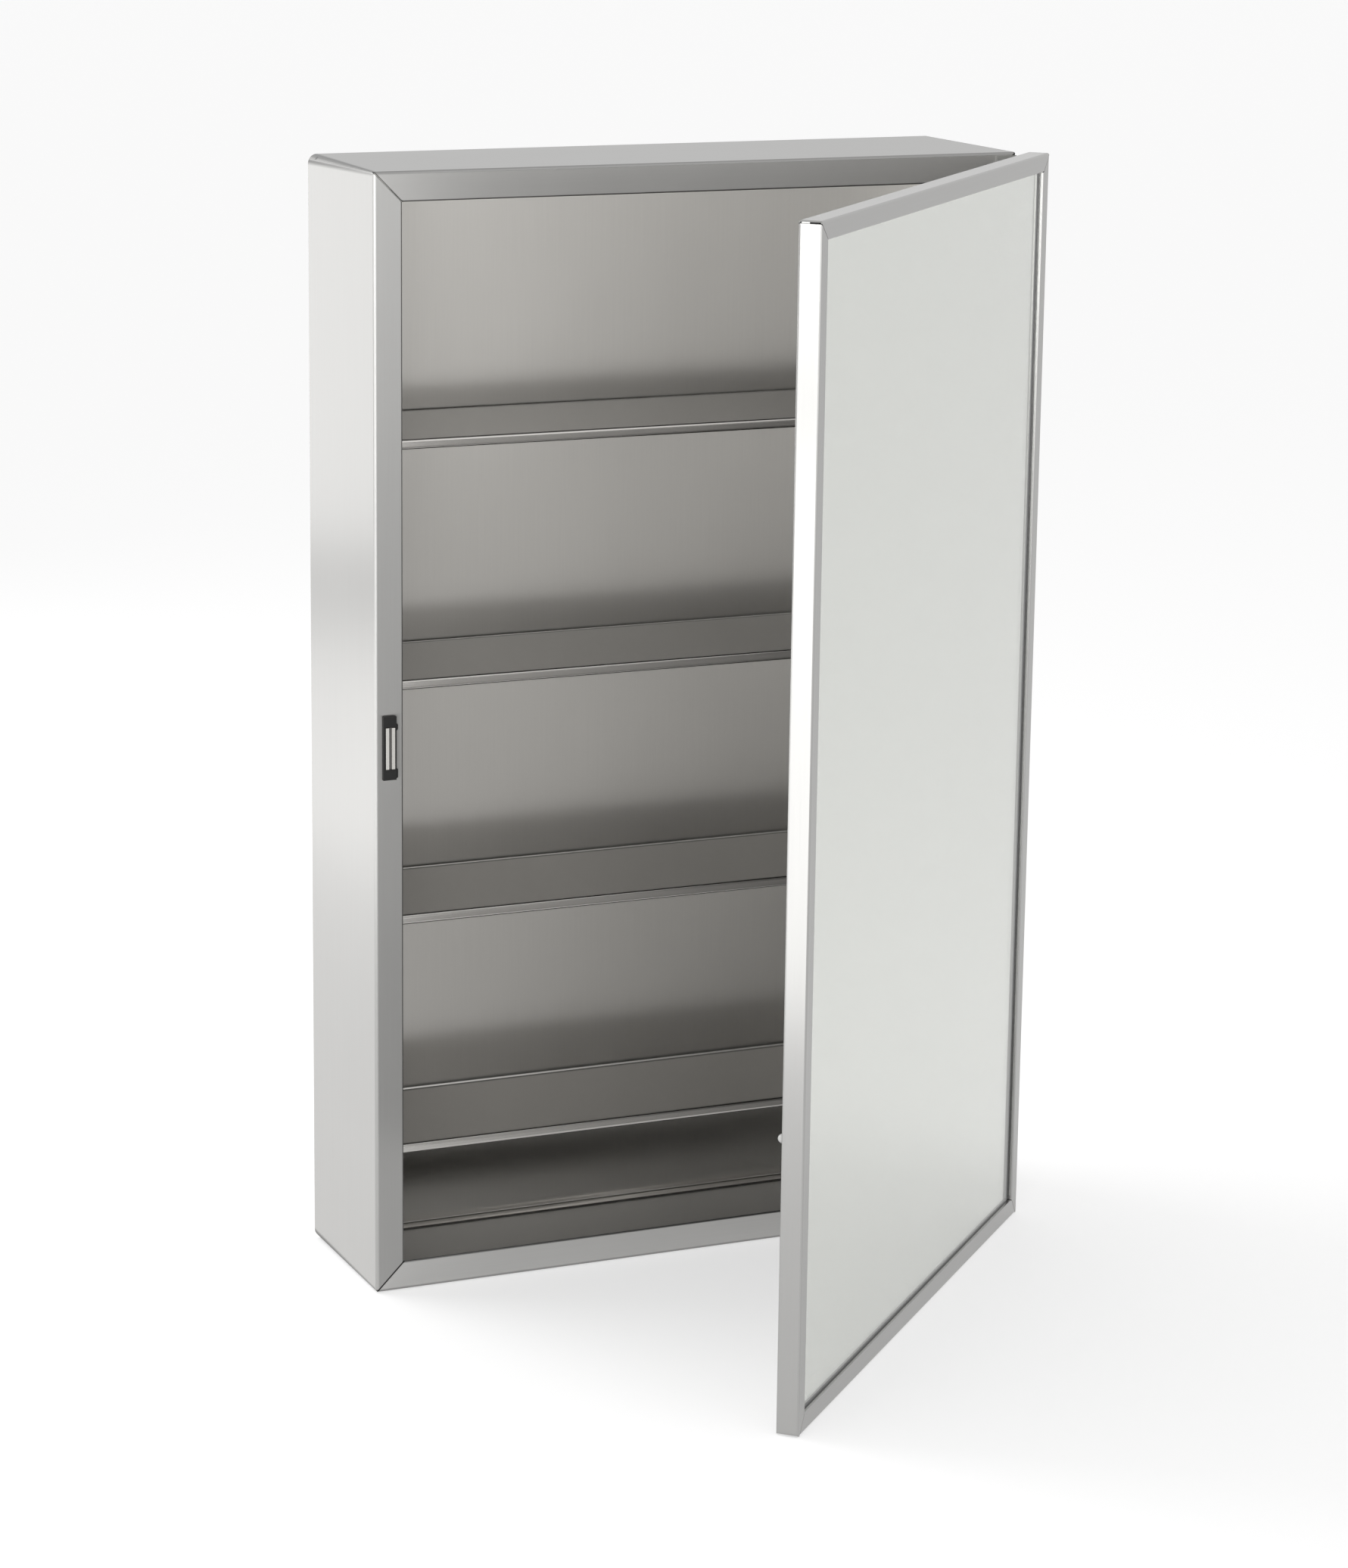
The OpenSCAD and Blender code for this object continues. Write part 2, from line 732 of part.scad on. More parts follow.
// Straight length of frame along the bottom of the closed door
module bottom_bar() {
    translate([door_x0, door_back, -cab_h / 2])
        mirror([0, 1, 0])
            mirror([0, 0, 1])
                rotate([0, 90, 0])
                    linear_extrude(door_w)
                        frame_section(rail_back_w);
}

// Straight length of frame along the hinge end of the closed door
module hinge_bar(back_w) {
    translate([door_x1, door_back, -cab_h / 2])
        rotate([0, 0, 180])
            linear_extrude(cab_h)
                frame_section(back_w);
}

// Hole for a key rivet through a web and the key behind it, downwards from z = 0
module key_rivet_hole() {
    translate([0, 0, -frame_t - key_t - over])
        cylinder(h = frame_t + key_t + 2 * over, d = key_rivet_d + 2 * rivet_clear);
}

// Places its children on the rails' webs, at the free end, above the corner keys
module key_rivet_places() {
    for (m = [0, 1])
        mirror([0, 0, m])
            translate([door_x0 + key_rivet_u, door_back - (pan_front + silver_back) / 2, cab_h / 2])
                children();
}

module top_rail() {
    color(steel)
        on_door()
            difference() {
                intersection() {
                    mirror([0, 0, 1])
                        bottom_bar();
                    door_outline()
                        top_rail_outline();
                }
                key_rivet_places()
                    key_rivet_hole();
            }
}

module bottom_rail() {
    color(steel)
        on_door()
            difference() {
                intersection() {
                    bottom_bar();
                    door_outline()
                        bottom_rail_outline();
                }
                key_rivet_places()
                    key_rivet_hole();
            }
}

module hinge_stile() {
    color(steel)
        on_door()
            difference() {
                intersection() {
                    hinge_bar(hinge_back_w);
                    door_outline()
                        stile_outline(hinge_back_w);
                }
                leaf_rivet_places()
                    translate([-rivet_line, door_back - frame_t, 0])
                        rivet_hole(frame_t);
            }
}

module free_stile() {
    color(steel)
        on_door()
            difference() {
                intersection() {
                    translate([door_x0 + door_x1, 0, 0])
                        mirror([1, 0, 0])
                            hinge_bar(free_back_w);
                    door_outline()
                        translate([door_w, 0])
                            mirror([1, 0])
                                stile_outline(free_back_w);
                }
                bumper_place()
                    bumper_hole();
                strike_rivet_places()
                    strike_rivet_hole(frame_t);
            }
}

// A flat sheet in the closed door: edge distances at the sides and at the ends, and depths
module door_sheet(side, end, back, front) {
    translate([door_x0 + side, door_back - front, end - cab_h / 2])
        cube([door_w - 2 * side, front - back, cab_h - 2 * end]);
}

module mirror_glass() {
    color("lightsteelblue")
        on_door()
            door_sheet(glass_edge, glass_edge, glass_back, glass_front);
}

module mirror_silvering() {
    color("slategray")
        on_door()
            door_sheet(glass_edge + silver_rim, glass_edge + silver_rim, silver_back, glass_back);
}

// Four plastic strips between the glass and the webs of the frame
module edge_fillers() {
    edge = frame_t + filler_clear;
    back = silver_back;
    front = glass_front;
    color("black")
        on_door()
            for (m = [0, 1]) {
                mirror([0, 0, m])
                    translate([door_x0 + edge, door_back - front, cab_h / 2 - edge - filler_t])
                        cube([door_w - 2 * edge, front - back, filler_t]);
                translate([(door_x0 + door_x1) / 2, door_back - front, 0])
                    mirror([m, 0, 0])
                        translate([door_w / 2 - edge - filler_t, 0, -cab_h / 2 + glass_edge])
                            cube([filler_t, front - back, cab_h - 2 * glass_edge]);
            }
}

module mirror_pad() {
    color("dimgray")
        on_door()
            door_sheet(pad_side, pad_end, pan_front, silver_back);
}

module door_back_pan() {
    color(dull_steel)
        on_door()
            difference() {
                door_sheet(pan_edge, pan_edge, frame_t, pan_front);
                leaf_rivet_places()
                    translate([-rivet_line, door_back - pan_front, 0])
                        rivet_hole(pan_t);
                bumper_place()
                    bumper_hole();
                strike_rivet_places()
                    strike_rivet_hole(pan_front);
            }
}

// Four bent keys that join the rails to the stiles inside the frame
module corner_keys() {
    key_back = door_back - pan_front;
    key_w = silver_back - pan_front;
    web = door_w / 2 - frame_t;
    color(dull_steel)
        on_door()
            difference() {
                translate([(door_x0 + door_x1) / 2, key_back - key_w, 0])
                    for (mx = [0, 1])
                        for (mz = [0, 1])
                            mirror([mx, 0, 0])
                                mirror([0, 0, mz]) {
                                    translate([web - key_len, 0, cab_h / 2 - frame_t - key_t])
                                        cube([key_len, key_w, key_t]);
                                    translate([web - key_t, 0, cab_h / 2 - frame_t - key_len])
                                        cube([key_t, key_w, key_len]);
                                }
                key_rivet_places()
                    key_rivet_hole();
            }
}

// Small flush rivets through the rails' webs into the keys at the free end
module corner_rivets() {
    color(dull_steel)
        on_door()
            key_rivet_places()
                translate([0, 0, -frame_t - key_t]) {
                    cylinder(h = frame_t + key_t, d = key_rivet_d);
                    translate([0, 0, -key_tail])
                        cylinder(h = key_tail, d1 = key_rivet_d, d2 = key_tail_d);
                }
}

// Places its children at the strike's two rivets, on the back of the closed door
module strike_rivet_places() {
    for (sz = [-1, 1])
        translate([catch_mid_x - pin_x, door_back, catch_mid_z + sz * (strike_h / 2 - strike_rivet_end)])
            children();
}

// Hole for a strike rivet through the sheets in front of the strike
module strike_rivet_hole(depth) {
    translate([0, over, 0])
        rotate([90, 0, 0])
            cylinder(h = depth + 2 * over, d = rivet_d + 2 * rivet_clear);
}

// Steel plate on the door that the magnet holds
module strike_plate() {
    color(bright_steel)
        on_door()
            difference() {
                translate([catch_mid_x - pin_x, 0, catch_mid_z])
                    along_y(door_back, door_back + strike_t)
                        rounded_rect(strike_w, strike_h, min(strike_corner_r, 0.45 * strike_w));
                strike_rivet_places()
                    rotate([-90, 0, 0]) {
                        translate([0, 0, -over])
                            cylinder(h = strike_t + 2 * over, d = rivet_d + 2 * rivet_clear);
                        translate([0, 0, strike_t - strike_head_t])
                            cylinder(h = strike_t, d = strike_head_d + 2 * rivet_clear);
                    }
            }
}

module strike_rivets() {
    color(bright_steel)
        on_door()
            strike_rivet_places()
                rotate([90, 0, 0]) {
                    translate([0, 0, strike_head_t - strike_t])
                        cylinder(h = strike_t - strike_head_t + pan_front, d = rivet_d);
                    translate([0, 0, -strike_t])
                        cylinder(h = strike_head_t, d = strike_head_d);
                    translate([0, 0, pan_front])
                        cylinder(h = rivet_tail, d1 = rivet_tail_d, d2 = rivet_d);
                }
}

// Places its children at the bumper, on the back of the closed door
module bumper_place() {
    translate([door_x0 + bumper_u, door_back, bumper_z - cab_h / 2])
        children();
}

module bumper_hole() {
    translate([0, over, 0])
        rotate([90, 0, 0])
            cylinder(h = pan_front + 2 * over, d = bumper_stem_d + 2 * rivet_clear);
}

// Soft white stud pressed into the free stile, which stops the door
module door_bumper() {
    height = door_gap - bumper_gap;
    color("white")
        on_door()
            bumper_place()
                rotate([-90, 0, 0]) {
                    difference() {
                        union() {
                            cylinder(h = height - bumper_d / 2, d = bumper_d);
                            translate([0, 0, height - bumper_d / 2])
                                sphere(d = bumper_d);
                        }
                        translate([0, 0, -bumper_d])
                            cylinder(h = bumper_d, d = bumper_d);
                    }
                    translate([0, 0, -pan_front])
                        cylinder(h = pan_front, d = bumper_stem_d);
                    translate([0, 0, -pan_front - bumper_barb])
                        cylinder(h = bumper_barb, d1 = bumper_stem_d, d2 = bumper_stem_d + bumper_barb);
                }
}

cabinet_wrap();
back_panel();
shelf_1();
shelf_2();
shelf_3();
shelf_4();
hinge_cabinet_leaf();
hinge_pin();
cabinet_leaf_rivets();
catch_housing();
pole_plates();
catch_magnet();
hinge_door_leaf();
door_leaf_rivets();
top_rail();
bottom_rail();
hinge_stile();
free_stile();
mirror_glass();
mirror_silvering();
edge_fillers();
mirror_pad();
door_back_pan();
corner_keys();
corner_rivets();
strike_plate();
strike_rivets();
door_bumper();
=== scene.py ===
import math

import bmesh
import bpy
from mathutils import Matrix, Vector


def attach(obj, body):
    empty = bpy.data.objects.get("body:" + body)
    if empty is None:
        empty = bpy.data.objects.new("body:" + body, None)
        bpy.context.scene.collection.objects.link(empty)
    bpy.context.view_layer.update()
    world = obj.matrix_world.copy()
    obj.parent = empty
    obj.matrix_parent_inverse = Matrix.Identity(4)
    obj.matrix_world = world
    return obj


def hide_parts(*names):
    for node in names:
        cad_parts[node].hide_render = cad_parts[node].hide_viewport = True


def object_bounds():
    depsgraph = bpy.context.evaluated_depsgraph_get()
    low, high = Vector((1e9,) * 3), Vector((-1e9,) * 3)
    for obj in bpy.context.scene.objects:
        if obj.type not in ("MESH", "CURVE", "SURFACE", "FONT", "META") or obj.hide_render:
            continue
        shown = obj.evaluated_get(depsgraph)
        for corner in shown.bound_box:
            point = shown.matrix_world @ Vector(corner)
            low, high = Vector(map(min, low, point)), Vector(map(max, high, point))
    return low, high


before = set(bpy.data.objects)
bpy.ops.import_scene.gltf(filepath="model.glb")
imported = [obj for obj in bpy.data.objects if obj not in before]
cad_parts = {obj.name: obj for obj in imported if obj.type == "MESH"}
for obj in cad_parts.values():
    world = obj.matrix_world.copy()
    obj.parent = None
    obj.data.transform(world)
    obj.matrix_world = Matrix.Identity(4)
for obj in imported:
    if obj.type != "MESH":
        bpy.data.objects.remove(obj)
cad_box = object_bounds()
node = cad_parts
bpy.context.scene.view_settings.view_transform = "Standard"


# The room: a plain pale floor that the cabinet stands on, an even pale sky, and soft lamps
# overhead, on the left and in front, which the steel shows as its bright faces.
class Shade:
    """A number, colour or vector on its way through the nodes of one finish."""

    def __init__(self, tree, socket=None):
        self.tree, self.socket = tree, socket

    def node(self, kind, settings={}, sockets={}, out=0):
        made = self.tree.nodes.new("ShaderNode" + kind)
        for name, value in settings.items():
            if name == "stops":
                ramp = made.color_ramp.elements
                while len(ramp) < len(value):
                    ramp.new(1)
                for stop, (place, grey) in zip(ramp, value):
                    stop.position, stop.color = place, (grey, grey, grey, 1)
            else:
                setattr(made, name, value)
        for place, value in sockets.items():
            if isinstance(value, Shade):
                self.tree.links.new(value.socket, made.inputs[place])
            else:
                made.inputs[place].default_value = value
        return Shade(self.tree, made.outputs[out] if len(made.outputs) else None)

    def maths(self, operation, *values):
        return self.node("Math", {"operation": operation}, dict(enumerate(values)))

    def __add__(self, other):
        return self.maths("ADD", self, other)

    def __sub__(self, other):
        return self.maths("SUBTRACT", self, other)

    def __rsub__(self, other):
        return self.maths("SUBTRACT", other, self)

    def __mul__(self, other):
        return self.maths("MULTIPLY", self, other)

    def __truediv__(self, other):
        return self.maths("DIVIDE", self, other)

    def __lt__(self, other):
        return self.maths("LESS_THAN", self, other)

    __radd__, __rmul__ = __add__, __mul__


def new_finish(name):
    """An empty material and the start of its nodes."""
    material = bpy.data.materials.new(name)
    material.use_nodes = True
    material.node_tree.nodes.clear()
    return material, Shade(material.node_tree)


def close_finish(start, sockets):
    """Ends a material with one surface shader."""
    surface = start.node("BsdfPrincipled", {}, sockets)
    start.node("OutputMaterial", {}, {"Surface": surface})


def grey_of(amount):
    """A neutral grey from one varying number."""
    return amount.node("CombineColor", {}, {0: amount, 1: amount, 2: amount})


def backdrop_light(start, amount):
    """What the floor and the sky add towards the camera, and in the steel and the mirror."""
    camera_ray, glossy_ray, through_ray = (
        start.node("LightPath", out=f"Is {kind} Ray")
        for kind in ("Camera", "Glossy", "Transmission"))
    return amount * camera_ray.maths("MAXIMUM", camera_ray, camera_ray.maths(
        "MAXIMUM", glossy_ray, through_ray))


floor_colour, floor_glow = (0.5, 0.5, 0.5, 1), 0.53
floor_half, floor_gap = 20, 0.0004
floor_z = cad_box[0].z - floor_gap
floor_mesh = bpy.data.meshes.new("floor")
floor_mesh.from_pydata(
    [(x, y, floor_z) for x, y in ((-1, -1), (1, -1), (1, 1), (-1, 1))], [], [(0, 1, 2, 3)])
floor_mesh.transform(Matrix.Diagonal((floor_half, floor_half, 1, 1)))
floor = bpy.data.objects.new("floor", floor_mesh)
bpy.context.scene.collection.objects.link(floor)
floor_paint, start = new_finish("pale_floor")
close_finish(start, {"Base Color": floor_colour, "Roughness": 0.9, "Specular IOR Level": 0.1,
                     "Emission Color": grey_of(backdrop_light(start, floor_glow)),
                     "Emission Strength": 1.0})
floor_mesh.materials.append(floor_paint)

sky_level, sky_glow = 0.8, 0.2
world = bpy.data.worlds.new("sky")
world.use_nodes = True
world.node_tree.nodes.clear()
sky = Shade(world.node_tree)
sky.node("OutputWorld", {}, {"Surface": sky.node("Background", {}, {
    "Color": grey_of(sky_level + backdrop_light(sky, sky_glow))})})
bpy.context.scene.world = world


def lamp(name, place, target, watts, wide, high):
    """A soft rectangular lamp, turned to a target, that the camera doesn't see."""
    data = bpy.data.lights.new(name, "AREA")
    data.shape, data.size, data.size_y, data.energy = "RECTANGLE", wide, high, watts
    made = bpy.data.objects.new(name, data)
    bpy.context.scene.collection.objects.link(made)
    made.location = place
    aim = Vector(target) - Vector(place)
    made.rotation_euler = aim.to_track_quat("-Z", "Y").to_euler()
    made.visible_camera = False


lamp("high_front", (0.4, -1.2, 1.3), (0, -0.2, 0.2), 0.9, 0.8, 0.6)
lamp("left_back_high", (-0.9, 0.75, 1.0), (0, -0.3, 0.2), 10, 1.0, 0.8)
lamp("left_back", (-1.0, 1.6, 0.3), (-0.2, 0, 0.1), 7.6, 1.4, 1.1)
lamp("left_low", (-0.95, 0.25, -0.21), (-0.2, 0, -0.21), 0.7, 1.2, 0.2)
lamp("left_front_low", (-0.75, -0.75, -0.12), (-0.08, -0.4, -0.12), 1.3, 0.7, 0.4)
lamp("front_left", (-2.4, -2.6, 0.35), (0, 0, 0.1), 35, 2.4, 1.3)
lamp("front", (0.2, -3.4, 0.06), (0, 0, 0), 12, 6, 0.74)

# The photographer's camera: a long lens, a little above the cabinet and to its left.
view_place = Vector((-1.08403, -2.47595, 0.58232))
lens_mm, film_mm = 103.364, 36
yaw, pitch, roll = (math.radians(angle) for angle in (24.3095, 13.4063, 0.7325))
look = Vector((math.sin(yaw) * math.cos(pitch),
               math.cos(yaw) * math.cos(pitch),
               -math.sin(pitch)))
level = Vector((math.cos(yaw), -math.sin(yaw), 0))
upright = level.cross(look)
camera_data = bpy.data.cameras.new("camera")
camera_data.lens, camera_data.sensor_width = lens_mm, film_mm
camera = bpy.data.objects.new("camera", camera_data)
bpy.context.scene.collection.objects.link(camera)
right = level * math.cos(roll) + upright * math.sin(roll)
over_head = upright * math.cos(roll) - level * math.sin(roll)
camera.matrix_world = Matrix.Translation(view_place) @ Matrix(
    (right, over_head, -look)).transposed().to_4x4()
bpy.context.scene.camera = camera


# Cabinet shell: stainless sheet, 0.9 mm thick, folded round in one piece and closed by mitred
# flanges at the front. The satin grain follows the strip, up the sides and across the ends.
cab_w, cab_h, cab_d = 0.4064, 0.6604, 0.108


def dress(name, material):
    """Gives a node of the cabinet its finish."""
    slots = node[name].data.materials
    slots.clear()
    slots.append(material)


def axes(start, turn=0):
    """Place on the piece, along its own axes, after a turn about the upright axis."""
    place = start.node("TexCoord", out=3)
    turned = start.node("Mapping", {"vector_type": "TEXTURE"},
                        {"Vector": place, "Rotation": (0, 0, math.radians(turn))})
    return turned, [turned.node("SeparateXYZ", {}, {0: turned}, out) for out in range(3)]


def streaks(place, spread):
    """Fine grain: how many streaks there are in a metre along each axis."""
    stretched = place.node("VectorMath", {"operation": "MULTIPLY"}, {0: place, 1: spread})
    return place.node("TexNoise", {}, {"Vector": stretched, "Scale": 1.0, "Detail": 3.0})


def clouds(place, scale, detail=2.0):
    """Slow change over a sheet, such as handling and rolling leave on it."""
    return place.node("TexNoise", {}, {"Vector": place, "Scale": scale, "Detail": detail})


def tint(start, colour, amount):
    """A colour made lighter or darker by a number near 1."""
    return start.node("Mix", {"data_type": "RGBA", "blend_type": "MULTIPLY"},
                      {"Factor": 1.0, 6: colour, 7: grey_of(amount)}, 2)


grain_share, cloud_share, cloud_scale, rough_share = 0.05, 0.04, 9.0, 0.03


def steel(name, colour, roughness, spread, turn=0, blur=0.0, depth=2e-6,
          level_part=None, shade=None):
    """Satin steel. Its grain blurs what it shows more across the grain than along it."""
    material, start = new_finish(name)
    place, axis = axes(start, turn)
    grain = streaks(place, spread)
    side = level_part(start, axis) if level_part else None
    if side:
        grain = grain + side * (streaks(place, level_spread) - grain)
    cloud = clouds(place, cloud_scale)
    light = 0.96 + grain_share * grain + cloud_share * cloud
    rough = roughness - rough_share / 2 + rough_share * cloud
    if shade:
        light = light * shade(start, axis)
    bump = start.node("Bump", {}, {"Height": grain, "Strength": 1.0, "Distance": depth})
    sockets = {"Base Color": tint(start, colour, light), "Metallic": 1.0,
               "Roughness": rough, "Normal": bump}
    surface = start.node("BsdfPrincipled", {}, sockets | {"Anisotropic": blur})
    if side:
        surface = start.node("MixShader", {}, {
            0: side, 1: surface, 2: start.node("BsdfPrincipled", {}, sockets)})
    start.node("OutputMaterial", {}, {"Surface": surface})
    return material


upright_spread, level_spread = (1100, 1100, 16), (16, 1100, 1100)
satin = (0.4, 0.397, 0.389, 1)


def edge_distances(axis):
    """How far a place is from the side edges, the end edges and the front of the shell."""
    across = cab_w / 2 - axis[0].maths("ABSOLUTE", axis[0])
    up = cab_h / 2 - axis[2].maths("ABSOLUTE", axis[2])
    return across, up, axis[1] + cab_d


def end_strips(start, axis):
    """1 on the top, the bottom and their flanges, 0 on the sides and theirs."""
    across, up, back = edge_distances(axis)
    return up < across


def fade(value, begin, end, first, last=1.0):
    """Goes from one number to another while a value goes from its begin to its end."""
    return value.node("MapRange", {}, {"Value": value, 1: begin, 2: end, 3: first, 4: last})


def off(value, place):
    """How far a value is from a place, on either side."""
    away = value - place
    return away.maths("ABSOLUTE", away)


# Painted light on the outer side walls, strongest towards the bottom, and painted shade on the
# outer top and bottom walls.
side_painted_light_high, side_painted_light_low, end_painted_shade = 1.12, 1.42, 0.79
side_low_z, side_high_z = -0.25, 0.05
# Painted light on the top and bottom flanges, painted shade on the side flanges, and a painted
# highlight in the side flanges' outer bends.
side_flange_painted_shade, end_flange_painted_light, side_bend_painted_highlight = 0.9, 1.18, 1.15
# Grime level for the mitre seams; painted shade at the hem, in the corner bends and before the
# panel's flange; a painted dark reflection in the top and bottom front bends.
seam_tone, hem_painted_shade, end_bend_painted_reflection, corner_painted_shade, floor_line_painted_shadow = 0.3, 0.4, 0.6, 0.4, 0.4
face_depth, skin, sheet_inside = 0.002, 0.0004, 0.0008
seam_half, hem_edge, bend_in, bend_out = 0.001, 0.0167, 0.0012, 0.002
corner_r_front, corner_r_wall, corner_soft = 0.0017, 0.0054, 0.001
floor_line_y, floor_line_half = -0.0106, 0.0016


def wrap_seams_and_painted_shade(start, axis):
    """Grime in the mitre seams; painted shade at the hem, in the corner bends and on the inner
    walls before the panel's flange; a painted dark reflection in the front bends of the top and
    the bottom.
    Painted light on the sides, most towards the bottom, and on the end flanges; painted shade on
    the top and the bottom walls and on the side flanges, with a painted highlight in their outer
    bends."""
    across, up, back = edge_distances(axis)
    edge, corner = across.maths("MINIMUM", across, up), across.maths("MAXIMUM", across, up)
    face, side, end = back < face_depth, across < skin, up < skin
    mitre = fade(off(across, up), seam_half / 2, seam_half, seam_tone)
    hem = fade(edge, hem_edge - seam_half / 2, hem_edge, 1.0, hem_painted_shade)
    flange_painted_light_and_shade = end_flange_painted_light + (across < up) * (
        fade(edge, bend_in, bend_out, side_bend_painted_highlight, side_flange_painted_shade) - end_flange_painted_light)
    bend = fade(up.maths("MAXIMUM", up, back), bend_in, bend_out, end_bend_painted_reflection)
    radius = corner_r_front + back * ((corner_r_wall - corner_r_front) / cab_d)
    corner_bend_shade = fade(corner - radius, -corner_soft, corner_soft, corner_painted_shade)
    inside = 1 - (edge < sheet_inside)
    floor_shadow_line = fade(off(axis[1], floor_line_y), floor_line_half / 2, floor_line_half,
                      floor_line_painted_shadow)
    on_face = 1 - face * (1 - mitre * hem * flange_painted_light_and_shade)
    side_painted_light = fade(axis[2], side_low_z, side_high_z, side_painted_light_low, side_painted_light_high)
    wall_tone = 1 + side * (side_painted_light - 1) - end * (1 - end_painted_shade)
    behind = face + (1 - face) * corner_bend_shade * wall_tone
    return on_face * bend * behind * (1 - inside * (1 - floor_shadow_line))


dress("cabinet_wrap", steel("satin_wrap_steel", satin, 0.34, upright_spread, blur=1.0,
                            level_part=end_strips, shade=wrap_seams_and_painted_shade))

# Back panel: a shallow pan of the same sheet, spot-welded between the walls, with its grain
# running up. It is seen through the open front and shows the shelves as soft dark bands.
# Painted shade in the pan's bends and a painted shadow along its flanges' cut edges.
pan_bend_y, pan_bend_painted_shade = -0.0024, 0.6
pan_flange, pan_edge_painted_shadow = 0.01, 0.35
# Painted light: the panel's steel is lighter than the same sheet in the wrap.
panel_steel_painted_light = (0.64, 0.624, 0.596, 1)


def panel_painted_shade(start, axis):
    """Painted shade in the pan's bends, and a painted shadow along the cut edges of its flanges.
    """
    bends = fade(off(axis[1], pan_bend_y), 0.0005, 0.0012, pan_bend_painted_shade)
    cut_edge_shadow = fade(axis[1] + pan_flange, 0.0002, 0.0008, pan_edge_painted_shadow)
    return bends * cut_edge_shadow


dress("back_panel", steel("satin_panel_steel", panel_steel_painted_light, 0.28, upright_spread, blur=1.0,
                          depth=2e-7, shade=panel_painted_shade))

# Shelves: four sheets with the front edge rolled down to a lip and the ends turned down
# and welded to the walls. The grain runs along them.
# Painted dark reflection in the lip's upper bend.
lip_bend_y, lip_bend_painted_reflection = -0.1037, 0.5
# Painted light on the lip.
lip_front_y, lip_back_y, lip_painted_light = -0.1047, -0.104, 1.5
# Painted shade along the joint with the panel.
shelf_rear_y, joint_w, joint_painted_shade = -0.0037, 0.0024, 0.22
shelf_satin = (0.32, 0.312, 0.299, 1)


def shelf_painted_light_and_shade(start, axis):
    """Painted light on the lip, a painted dark reflection in its upper bend, and painted shade
    in the joint along the panel."""
    bend = fade(off(axis[1], lip_bend_y), 0.0006, 0.0013, lip_bend_painted_reflection)
    joint = fade(axis[1] - shelf_rear_y, -joint_w - 0.001, -joint_w, 1.0, joint_painted_shade)
    return bend * joint * fade(axis[1], lip_front_y, lip_back_y, lip_painted_light)


shelf_steel = steel("satin_shelf_steel", shelf_satin, 0.22, level_spread, depth=5e-7,
                    shade=shelf_painted_light_and_shade)
for number in range(1, 5):
    dress(f"shelf_{number}", shelf_steel)

# Hinge: two leaves of thin strip, rolled into knuckles along one edge, on a straight drawn
# pin, held to the flange and to the door by blind rivets.
hinge_steel = steel("rolled_hinge_steel", (0.42, 0.42, 0.41, 1), 0.32, (900, 900, 20))
drawn_steel = steel("drawn_pin_steel", (0.55, 0.55, 0.54, 1), 0.2, (900, 900, 30))
dress("hinge_cabinet_leaf", hinge_steel)
dress("hinge_door_leaf", hinge_steel)
for name in ("hinge_pin", "cabinet_leaf_rivets", "door_leaf_rivets", "corner_rivets",
             "strike_rivets"):
    dress(name, drawn_steel)

# Magnetic catch: a black moulded body pressed through the left flange. Two nickel-plated pole
# plates stand in its window with a grey magnet between them.
black_plastic, start = new_finish("moulded_black")
place, axis = axes(start)
pebble = start.node("TexNoise", {}, {"Vector": place, "Scale": 2500.0, "Detail": 2.0})
close_finish(start, {
    "Base Color": tint(start, (0.016, 0.016, 0.016, 1), 0.8 + 0.4 * clouds(place, 120.0)),
    "Roughness": 0.42 + 0.16 * pebble, "Specular IOR Level": 0.25,
    "Normal": start.node("Bump", {}, {"Height": pebble, "Strength": 0.5, "Distance": 2e-5})})
dress("catch_housing", black_plastic)
dress("pole_plates", steel("nickel_plate", (0.66, 0.65, 0.62, 1), 0.22, (900, 900, 60)))
ferrite, start = new_finish("pressed_ferrite")
place, axis = axes(start)
speck = start.node("TexNoise", {}, {"Vector": place, "Scale": 3000.0, "Detail": 3.0})
close_finish(start, {
    "Base Color": tint(start, (0.09, 0.088, 0.085, 1), 0.7 + 0.6 * speck),
    "Roughness": 0.5 + 0.2 * speck, "Metallic": 0.0,
    "Normal": start.node("Bump", {}, {"Height": speck, "Strength": 0.6, "Distance": 3e-5})})
dress("catch_magnet", ferrite)

# Door frame: four lengths of roll-formed channel with seams in the corners, keyed together
# inside. The grain runs along each length. The back sheet lies inside the channels.
door_angle = 45
rail_steel = steel("satin_rail_steel", (0.365, 0.362, 0.355, 1), 0.28, level_spread, door_angle)
stile_steel = steel("satin_stile_steel", satin, 0.26, upright_spread, door_angle, blur=0.8)
for name in ("top_rail", "bottom_rail"):
    dress(name, rail_steel)
for name in ("hinge_stile", "free_stile"):
    dress(name, stile_steel)
dress("door_back_pan", steel("satin_pan_steel", (0.42, 0.417, 0.41, 1), 0.5, upright_spread,
                             door_angle))
dress("corner_keys", hinge_steel)

# Mirror: 5 mm float glass with its edges ground, silvered and painted on the back. The pane
# and the silver replace the plain nodes, with ground edges and a hair of space between them.
pin_place = Vector((0.2058, -0.1106, 0))
door_left, door_right, door_back = -0.4086, 0.0044, -0.0026
glass_edge, glass_back, glass_front = 0.0028, 0.0062, 0.0112
ground_edge = 0.0006
silver_rim, silver_t, silver_gap = 0.002, 0.0002, 0.00004


def on_door(x, depth, z):
    """Place in the open door of a point that is given across, into and up the closed one."""
    swing = Matrix.Rotation(math.radians(door_angle), 3, "Z")
    return pin_place + swing @ Vector((x, door_back - depth, z))


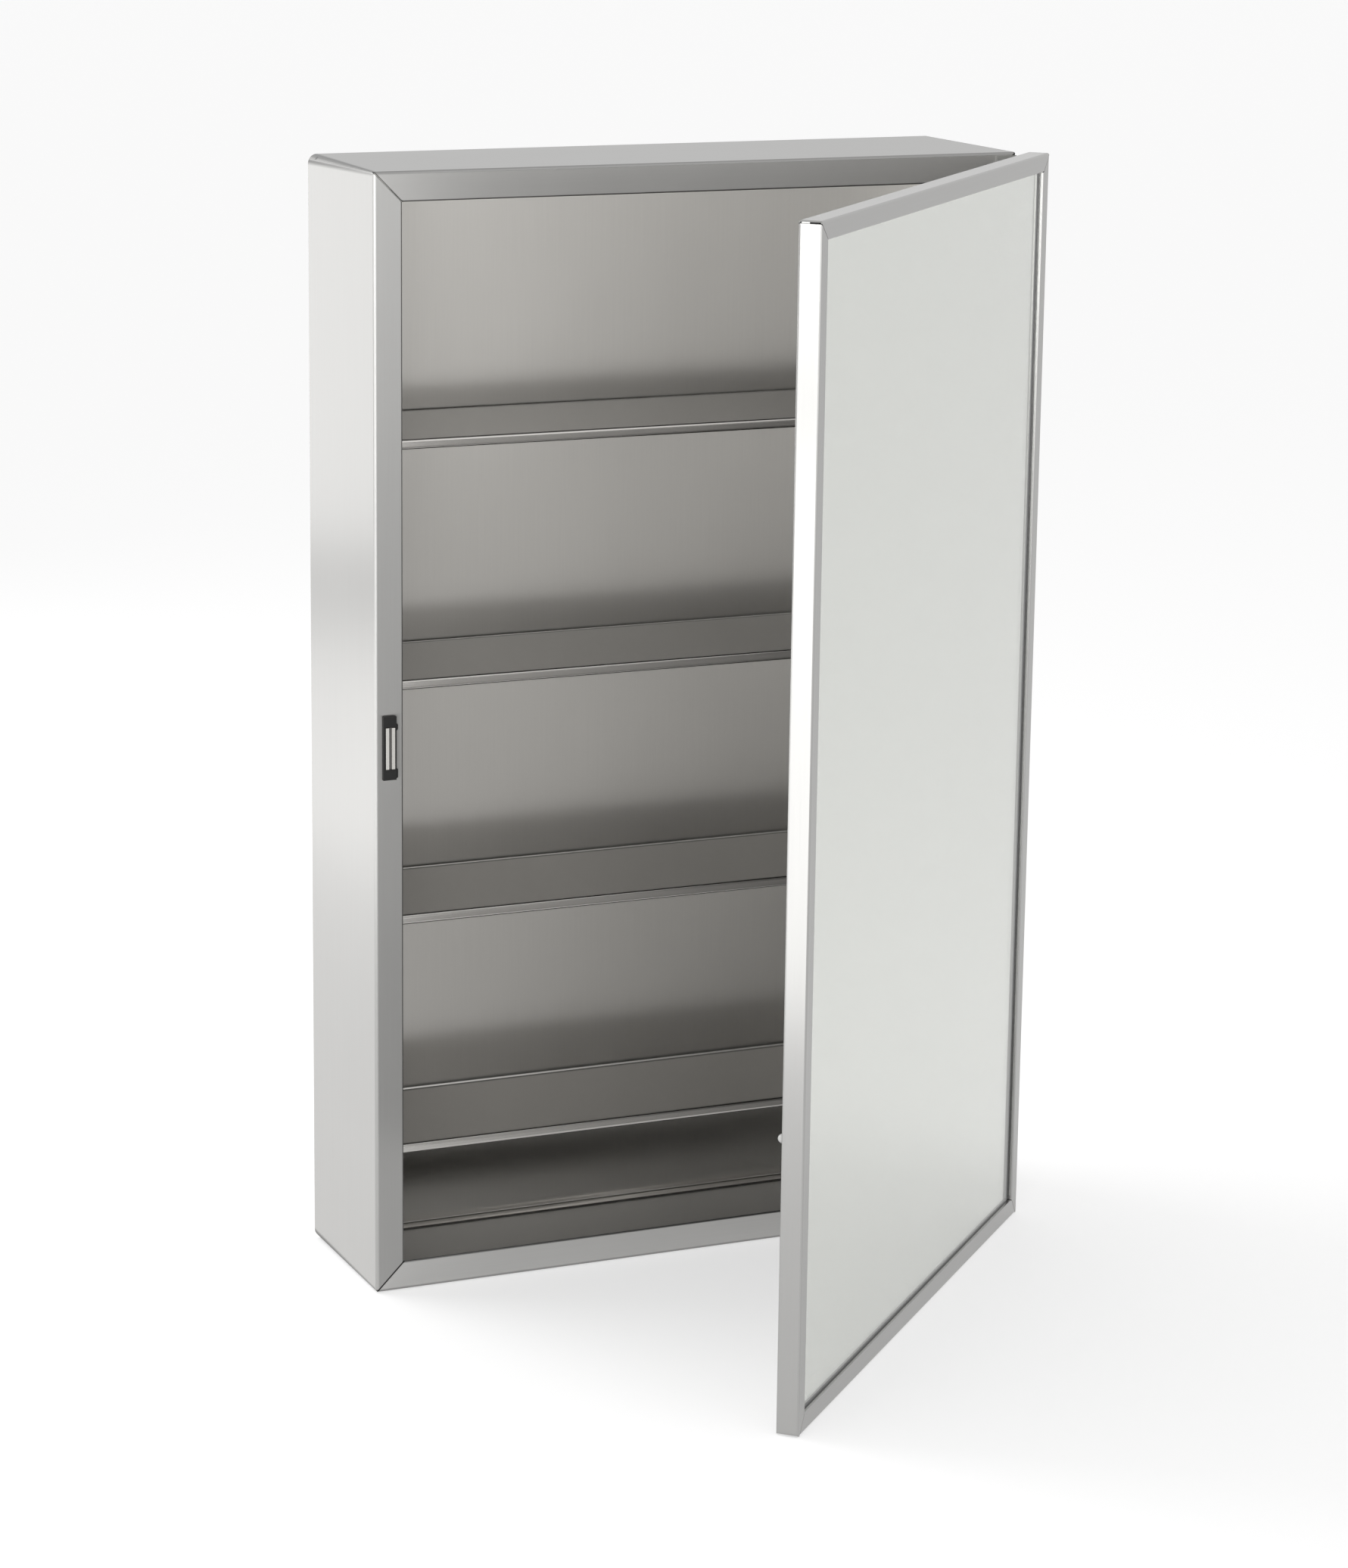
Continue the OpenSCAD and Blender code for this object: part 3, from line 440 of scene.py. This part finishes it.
def pane(name, edge, back, front, ground, material, slot, *nodes):
    """A flat pane in the door, with its edges ground off at 45 degrees on both faces."""
    rings = [(back, 0), (front, 0)]
    if ground:
        rings = [(back, ground), (back + ground, 0), (front - ground, 0), (front, ground)]
    made = bmesh.new()
    loops = []
    for depth, inset in rings:
        x0, x1 = door_left + edge + inset, door_right - edge - inset
        z1 = cab_h / 2 - edge - inset
        loops.append([made.verts.new(on_door(x, depth, z))
                      for x, z in ((x0, -z1), (x1, -z1), (x1, z1), (x0, z1))])
    made.faces.new(loops[0])
    made.faces.new(loops[-1][::-1])
    for low, high in zip(loops, loops[1:]):
        for i in range(4):
            made.faces.new((low[i], high[i], high[(i + 1) % 4], low[(i + 1) % 4]))
    bmesh.ops.recalc_face_normals(made, faces=made.faces)
    mesh = bpy.data.meshes.new(name)
    made.to_mesh(mesh)
    made.free()
    mesh.materials.append(material)
    piece = bpy.data.objects.new(name, mesh)
    bpy.context.scene.collection.objects.link(piece)
    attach(piece, "door")
    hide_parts(*nodes)


clear_glass, start = new_finish("clear_float_glass")
place, axis = axes(start, door_angle)
close_finish(start, {
    "Base Color": (0.985, 0.99, 0.98, 1), "Transmission Weight": 1.0, "IOR": 1.52,
    "Roughness": start.node("MapRange", {}, {"Value": clouds(place, 14.0, 4.0),
                                             1: 0.5, 2: 0.75, 3: 0.0, 4: 0.012})})
silver, start = new_finish("silver_layer")
place, axis = axes(start, door_angle)
close_finish(start, {
    "Base Color": tint(start, (0.625, 0.635, 0.597, 1), 0.985 + 0.03 * clouds(place, 3.0)),
    "Metallic": 1.0, "Roughness": 0.02})
pane("mirror_pane", glass_edge, glass_back, glass_front, ground_edge, clear_glass,
     "clear_glass", "mirror_glass")
pane("mirror_silver", glass_edge + silver_rim, glass_back - silver_t, glass_back - silver_gap, 0,
     silver, "silvering", "mirror_silvering")

# Inside the door: extruded black strips round the glass, and a block of grey foam that
# presses the mirror against the frame.
dress("edge_fillers", black_plastic)
foam, start = new_finish("grey_foam")
place, axis = axes(start, door_angle)
cells = start.node("TexVoronoi", {}, {"Vector": place, "Scale": 900.0})
close_finish(start, {
    "Base Color": tint(start, (0.16, 0.16, 0.165, 1), 0.7 + 0.5 * cells), "Roughness": 0.95,
    "Normal": start.node("Bump", {}, {"Height": cells, "Strength": 1.0, "Distance": 4e-4})})
dress("mirror_pad", foam)

# Strike: a small plated plate on the back of the free stile, under the two sunk rivet heads.
dress("strike_plate", steel("plated_strike", (0.55, 0.55, 0.54, 1), 0.25, (900, 900, 60),
                            door_angle))

# Bumper: one soft white stud pressed into the back of the free stile, so that the door
# closes quietly.
white_plastic, start = new_finish("moulded_white")
place, axis = axes(start, door_angle)
close_finish(start, {
    "Base Color": tint(start, (0.45, 0.45, 0.44, 1), 0.95 + 0.1 * clouds(place, 300.0)),
    "Roughness": 0.4 + 0.1 * clouds(place, 1500.0)})
dress("door_bumper", white_plastic)
